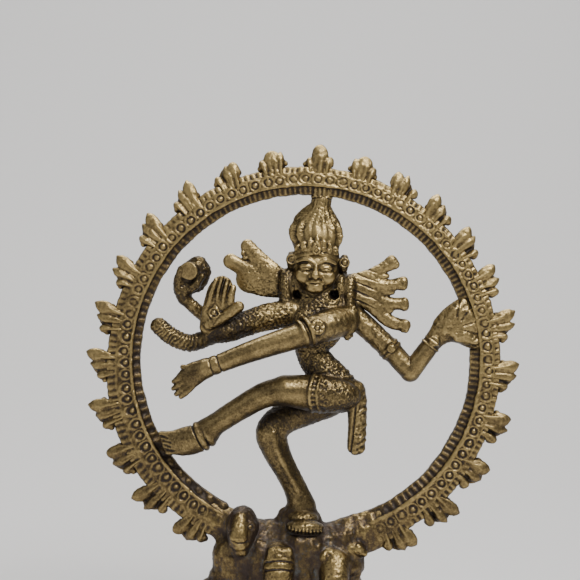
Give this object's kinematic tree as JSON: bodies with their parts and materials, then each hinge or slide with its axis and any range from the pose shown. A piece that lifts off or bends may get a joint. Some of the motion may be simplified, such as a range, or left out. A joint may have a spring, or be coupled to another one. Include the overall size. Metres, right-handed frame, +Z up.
{
  "type": "nataraja statue",
  "caption": "Small cast brass figure of a four-armed dancer inside a ring of flames, standing on a dwarf and an oval lotus pedestal; stands free as an ornament.",
  "frame": {"origin": "middle of the pedestal's underside, on the surface that the statue stands on", "axes": "+Z up, +X to the viewer's right when looking at the front, -Y out of the figure's front"},
  "size_m": [0.1071, 0.034, 0.1309],
  "materials": {
    "ring_brass": "cast, rubbed bright on the high points, dark in the recesses",
    "figure_brass": "cast, smooth limbs with a soft satin polish, rough dark texture on the body",
    "base_brass": "cast, brown patina with traces of blue-grey verdigris"
  },
  "bodies": {
    "root": {"ring": "ring_brass", "flame_01": "ring_brass", "flame_02": "ring_brass", "flame_03": "ring_brass", "flame_04": "ring_brass", "flame_05": "ring_brass", "flame_06": "ring_brass", "flame_07": "ring_brass", "flame_08": "ring_brass", "flame_09": "ring_brass", "flame_10": "ring_brass", "flame_11": "ring_brass", "flame_12": "ring_brass", "flame_13": "ring_brass", "flame_14": "ring_brass", "flame_15": "ring_brass", "flame_16": "ring_brass", "flame_17": "ring_brass", "flame_18": "ring_brass", "flame_19": "ring_brass", "flame_20": "ring_brass", "flame_21": "ring_brass", "flame_22": "ring_brass", "flame_23": "ring_brass", "torso": "figure_brass", "head": "figure_brass", "ear_left": "figure_brass", "ear_right": "figure_brass", "diadem": "figure_brass", "crown": "figure_brass", "locks_left": "figure_brass", "locks_right": "figure_brass", "front_right_arm": "figure_brass", "front_right_hand": "figure_brass", "serpent": "figure_brass", "back_right_arm": "figure_brass", "back_right_hand": "figure_brass", "damaru": "figure_brass", "front_left_upper_arm": "figure_brass", "front_left_armlet": "figure_brass", "front_left_forearm": "figure_brass", "front_left_hand": "figure_brass", "back_left_upper_arm": "figure_brass", "back_left_armlet": "figure_brass", "back_left_forearm": "figure_brass", "back_left_hand": "figure_brass", "sash": "figure_brass", "raised_thigh": "figure_brass", "raised_shin": "figure_brass", "raised_foot": "figure_brass", "standing_leg": "figure_brass", "standing_foot": "figure_brass", "dwarf_body": "base_brass", "dwarf_head": "base_brass", "dwarf_arm": "base_brass", "dwarf_leg": "base_brass", "dwarf_foot": "base_brass", "lotus_upper": "base_brass", "lotus_lower": "base_brass", "plinth": "base_brass"}
  },
  "joints": []
}
